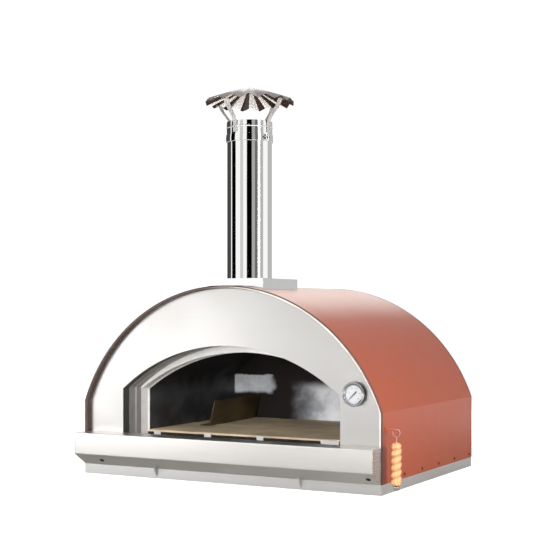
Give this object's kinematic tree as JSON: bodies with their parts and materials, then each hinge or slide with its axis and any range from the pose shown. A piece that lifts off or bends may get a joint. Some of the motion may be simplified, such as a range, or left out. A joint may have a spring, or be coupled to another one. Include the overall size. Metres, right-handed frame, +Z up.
{
  "type": "wood fired pizza oven",
  "caption": "Vaulted steel wood-fired pizza oven with an arched mouth, front ledge, flue with pleated rain cap, dial thermometer and a short hanging tool.",
  "frame": {"origin": "middle of the underside of the base", "axes": "+Z up along the flue, the mouth faces -Y, +X to the right seen from the front"},
  "size_m": [1.1621, 0.858, 1.298],
  "materials": {
    "terracotta": "satin",
    "brushed": "satin",
    "polished": "polished",
    "sooty": "matte",
    "dark_steel": "matte",
    "guard_steel": "matte",
    "fireclay": "matte",
    "wool": "matte",
    "dial": "satin",
    "needle": "satin",
    "glass": "gloss",
    "screw": "satin",
    "wood": "satin"
  },
  "bodies": {
    "oven": {"outer_casing": "terracotta", "rear_panel": "terracotta", "base_frame": "brushed", "front_panel": "brushed", "front_ledge": "brushed", "ledge_bracket_left": "brushed", "ledge_bracket_right": "brushed", "mouth_tunnel": "brushed", "inner_arch_frame": "brushed", "floor_clip_1": "brushed", "floor_clip_2": "brushed", "floor_clip_3": "brushed", "floor_clip_4": "brushed", "flue_box": "brushed", "flue_spigot": "brushed", "thermometer_stem": "brushed", "tool_hook": "brushed", "thermometer_case": "polished", "thermometer_bezel": "polished", "smoke_duct": "sooty", "chamber_vault": "sooty", "chamber_back_wall": "sooty", "vestibule_floor": "dark_steel", "floor_rail": "dark_steel", "floor_tile_front_left": "fireclay", "floor_tile_front_right": "fireclay", "floor_tile_rear_left": "fireclay", "floor_tile_rear_right": "fireclay", "vault_insulation": "wool", "rear_insulation": "wool", "sole_insulation": "wool", "thermometer_dial": "dial", "thermometer_glass": "glass", "ledge_screw_left": "screw", "ledge_screw_right": "screw", "casing_screw_left_1": "screw", "casing_screw_left_2": "screw", "casing_screw_left_3": "screw", "casing_screw_left_4": "screw", "casing_screw_left_5": "screw", "casing_screw_right_1": "screw", "casing_screw_right_2": "screw", "casing_screw_right_3": "screw", "casing_screw_right_4": "screw", "casing_screw_right_5": "screw"},
    "flue": {"flue_pipe": "polished", "cap_collar": "polished", "locking_band": "polished", "band_bolt": "screw", "cap_strut_1": "polished", "cap_strut_2": "polished", "cap_strut_3": "polished", "cap_strut_4": "polished", "rain_cap": "polished", "cap_rivet": "polished"},
    "tool": {"tool_eye": "brushed", "tool_handle": "wood", "tool_ferrule": "brushed"},
    "needle": {"thermometer_needle": "needle"},
    "guard": {"log_guard": "guard_steel"}
  },
  "joints": [
    {"name": "flue_lift", "type": "slide", "parent": "oven", "child": "flue", "axis": [0, 0, 1], "range_m": [0, 0.045]},
    {"name": "tool_swing", "type": "hinge", "parent": "oven", "child": "tool", "pos_m": [0.594, -0.39, 0.196], "axis": [0, 1, 0], "range_deg": [-60, 8]},
    {"name": "needle_turn", "type": "hinge", "parent": "oven", "child": "needle", "pos_m": [0.454, -0.3875, 0.3], "axis": [0, 1, 0], "range_deg": [0, 270]},
    {"name": "guard_slide", "type": "slide", "parent": "oven", "child": "guard", "axis": [1, 0, 0], "range_m": [-0.03, 0.6]}
  ]
}
